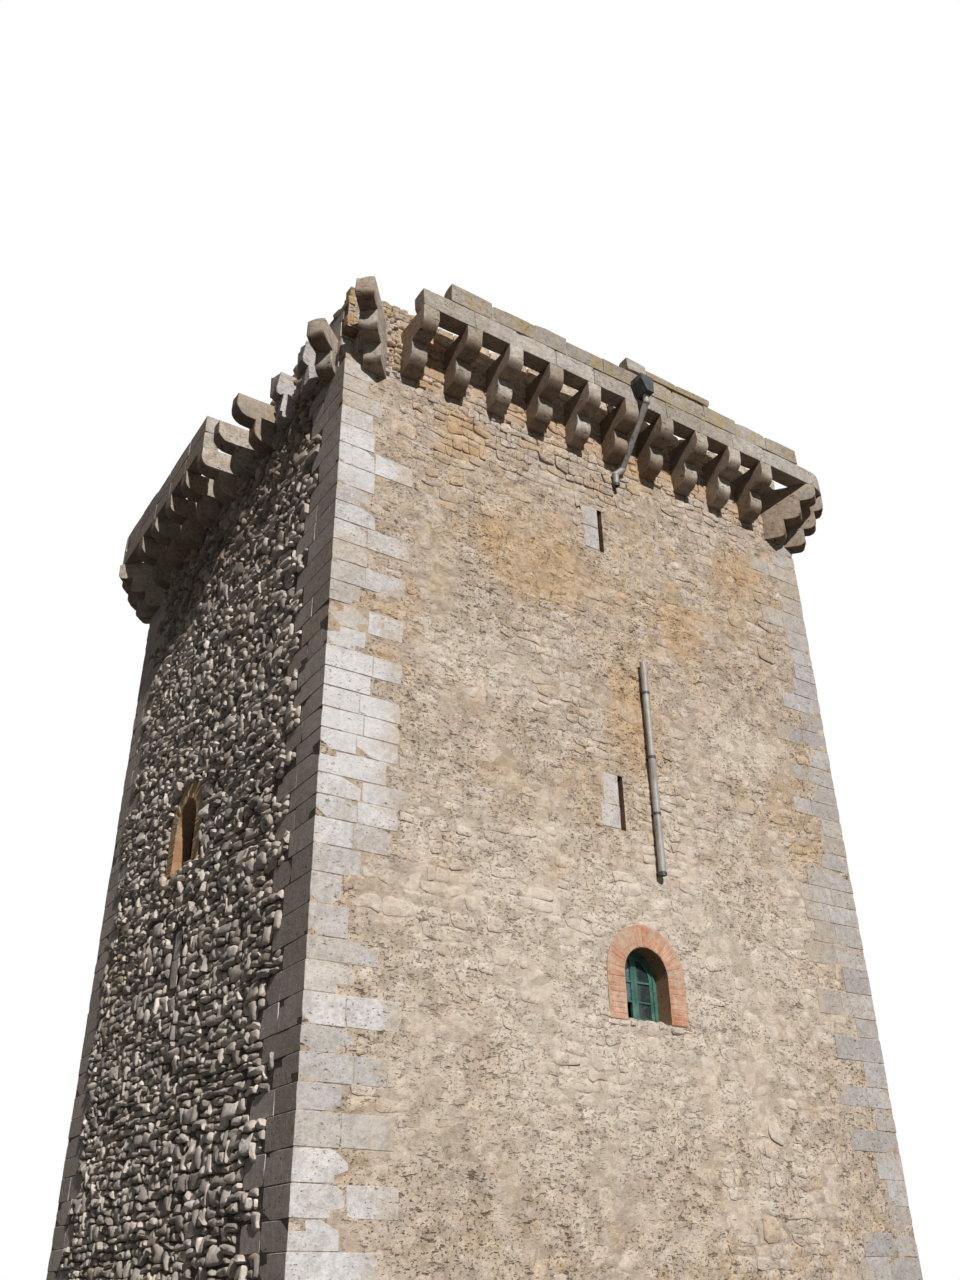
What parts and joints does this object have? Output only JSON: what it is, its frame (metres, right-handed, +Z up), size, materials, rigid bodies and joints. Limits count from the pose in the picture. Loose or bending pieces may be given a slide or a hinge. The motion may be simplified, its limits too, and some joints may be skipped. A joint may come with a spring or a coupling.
{
  "type": "castle keep",
  "caption": "Square stone castle keep of rubble with ashlar corners, slits, arched windows and a partly ruined corbelled parapet.",
  "frame": {"origin": "on the ground, in the middle of the tower's square plan", "axes": "+Z up, -Y towards the front with the green window, +X to the right of the front"},
  "size_m": [11.2418, 10.8409, 16.15],
  "materials": {
    "rubble": "rough, weathered limestone rubble in lime mortar",
    "side_rubble": "rough, weathered grey limestone rubble with deep joints",
    "ashlar": "dressed limestone corner stones, weathered",
    "corbel_stone": "dressed limestone, lichened",
    "parapet_stone": "dressed limestone, grey with ochre lichen on top",
    "floor_stone": "worn stone paving",
    "brick": "salmon brick in lime mortar, matte",
    "green_paint": "green painted timber, worn",
    "glass": "dusty window glass",
    "pipe": "weathered grey pipe, matte",
    "dark_metal": "dark weathered paint"
  },
  "bodies": {
    "root": {"ground_floor": "floor_stone", "first_floor": "floor_stone", "second_floor": "floor_stone", "third_floor": "floor_stone", "roof_terrace": "floor_stone", "corner_pier_sw": "ashlar", "corner_pier_se": "ashlar", "corner_pier_ne": "ashlar", "corner_pier_nw": "ashlar", "front_wall_left": "rubble", "front_wall_middle": "rubble", "front_wall_right": "rubble", "west_wall_north": "side_rubble", "west_wall_middle": "side_rubble", "west_wall_south": "side_rubble", "north_wall": "rubble", "east_wall": "rubble", "sw_broken_masonry": "rubble", "front_window_bricks": "brick", "west_window_bricks": "brick", "front_window_frame": "green_paint", "front_window_left_leaf": "green_paint", "front_window_right_leaf": "green_paint", "front_window_glass": "glass", "front_corbels": "corbel_stone", "west_corbels": "corbel_stone", "west_broken_corbels": "corbel_stone", "north_corbels": "corbel_stone", "east_corbels": "corbel_stone", "corner_corbels_sw": "corbel_stone", "corner_corbels_se": "corbel_stone", "corner_corbels_ne": "corbel_stone", "corner_corbels_nw": "corbel_stone", "front_parapet_lintels": "parapet_stone", "front_parapet_second_course": "parapet_stone", "front_parapet_third_course": "parapet_stone", "parapet_corner_se": "parapet_stone", "east_parapet": "parapet_stone", "parapet_corner_ne": "parapet_stone", "north_parapet": "parapet_stone", "parapet_corner_nw": "parapet_stone", "west_parapet": "parapet_stone", "rainwater_head": "dark_metal", "upper_drainpipe": "pipe", "lower_drainpipe": "pipe", "drainpipe_clamps": "dark_metal"}
  },
  "joints": []
}
